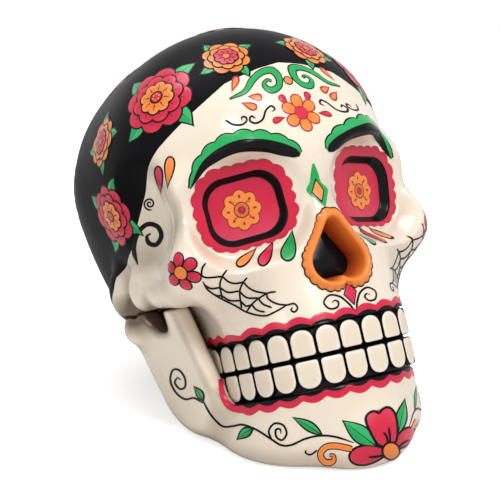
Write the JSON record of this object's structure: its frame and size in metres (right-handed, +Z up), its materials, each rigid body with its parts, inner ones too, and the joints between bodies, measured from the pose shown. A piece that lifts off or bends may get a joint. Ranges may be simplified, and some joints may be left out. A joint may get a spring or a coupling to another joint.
{
  "type": "sugar skull",
  "caption": "Painted display sugar skull with hollow cranium, hinged lower jaw, tooth rows, shallow eye cups and a rolled nasal rim, standing on its jaw and a base.",
  "frame": {"origin": "on the floor, under the middle of the whole skull's bounding box", "axes": "+X to the skull's own left, +Y to the back of the head, +Z up, with the face towards -Y"},
  "size_m": [0.2884, 0.4384, 0.369],
  "materials": {
    "bone_enamel": "glossy ivory paint under clear varnish",
    "black_enamel": "glossy black paint",
    "crimson_enamel": "glossy crimson paint",
    "orange_enamel": "glossy orange paint",
    "zinc_steel": "zinc plated",
    "nylon": "natural nylon",
    "base_board": "matt black board",
    "pad_rubber": "black rubber"
  },
  "bodies": {
    "cranium": {"face_shell": "bone_enamel", "upper_tooth_row": "bone_enamel", "rear_shell": "black_enamel", "nasal_back": "black_enamel", "eye_cup_left": "crimson_enamel", "eye_cup_right": "crimson_enamel", "nasal_rim": "orange_enamel", "hinge_bolt_left": "zinc_steel", "hinge_bolt_right": "zinc_steel", "base_screw_1": "zinc_steel", "base_screw_2": "zinc_steel", "base_screw_3": "zinc_steel", "base_screw_4": "zinc_steel", "hinge_washer_left": "nylon", "hinge_washer_right": "nylon", "base_plate": "base_board", "foot_pad_1": "pad_rubber", "foot_pad_2": "pad_rubber", "foot_pad_3": "pad_rubber", "foot_pad_4": "pad_rubber"},
    "jaw": {"mandible": "bone_enamel", "lower_tooth_row": "bone_enamel", "hinge_bush_left": "nylon", "hinge_bush_right": "nylon"}
  },
  "joints": [
    {"name": "jaw_hinge", "type": "hinge", "parent": "cranium", "child": "jaw", "pos_m": [0, 0.01587, 0.08995], "axis": [1, 0, 0], "range_deg": [0, 15]}
  ]
}
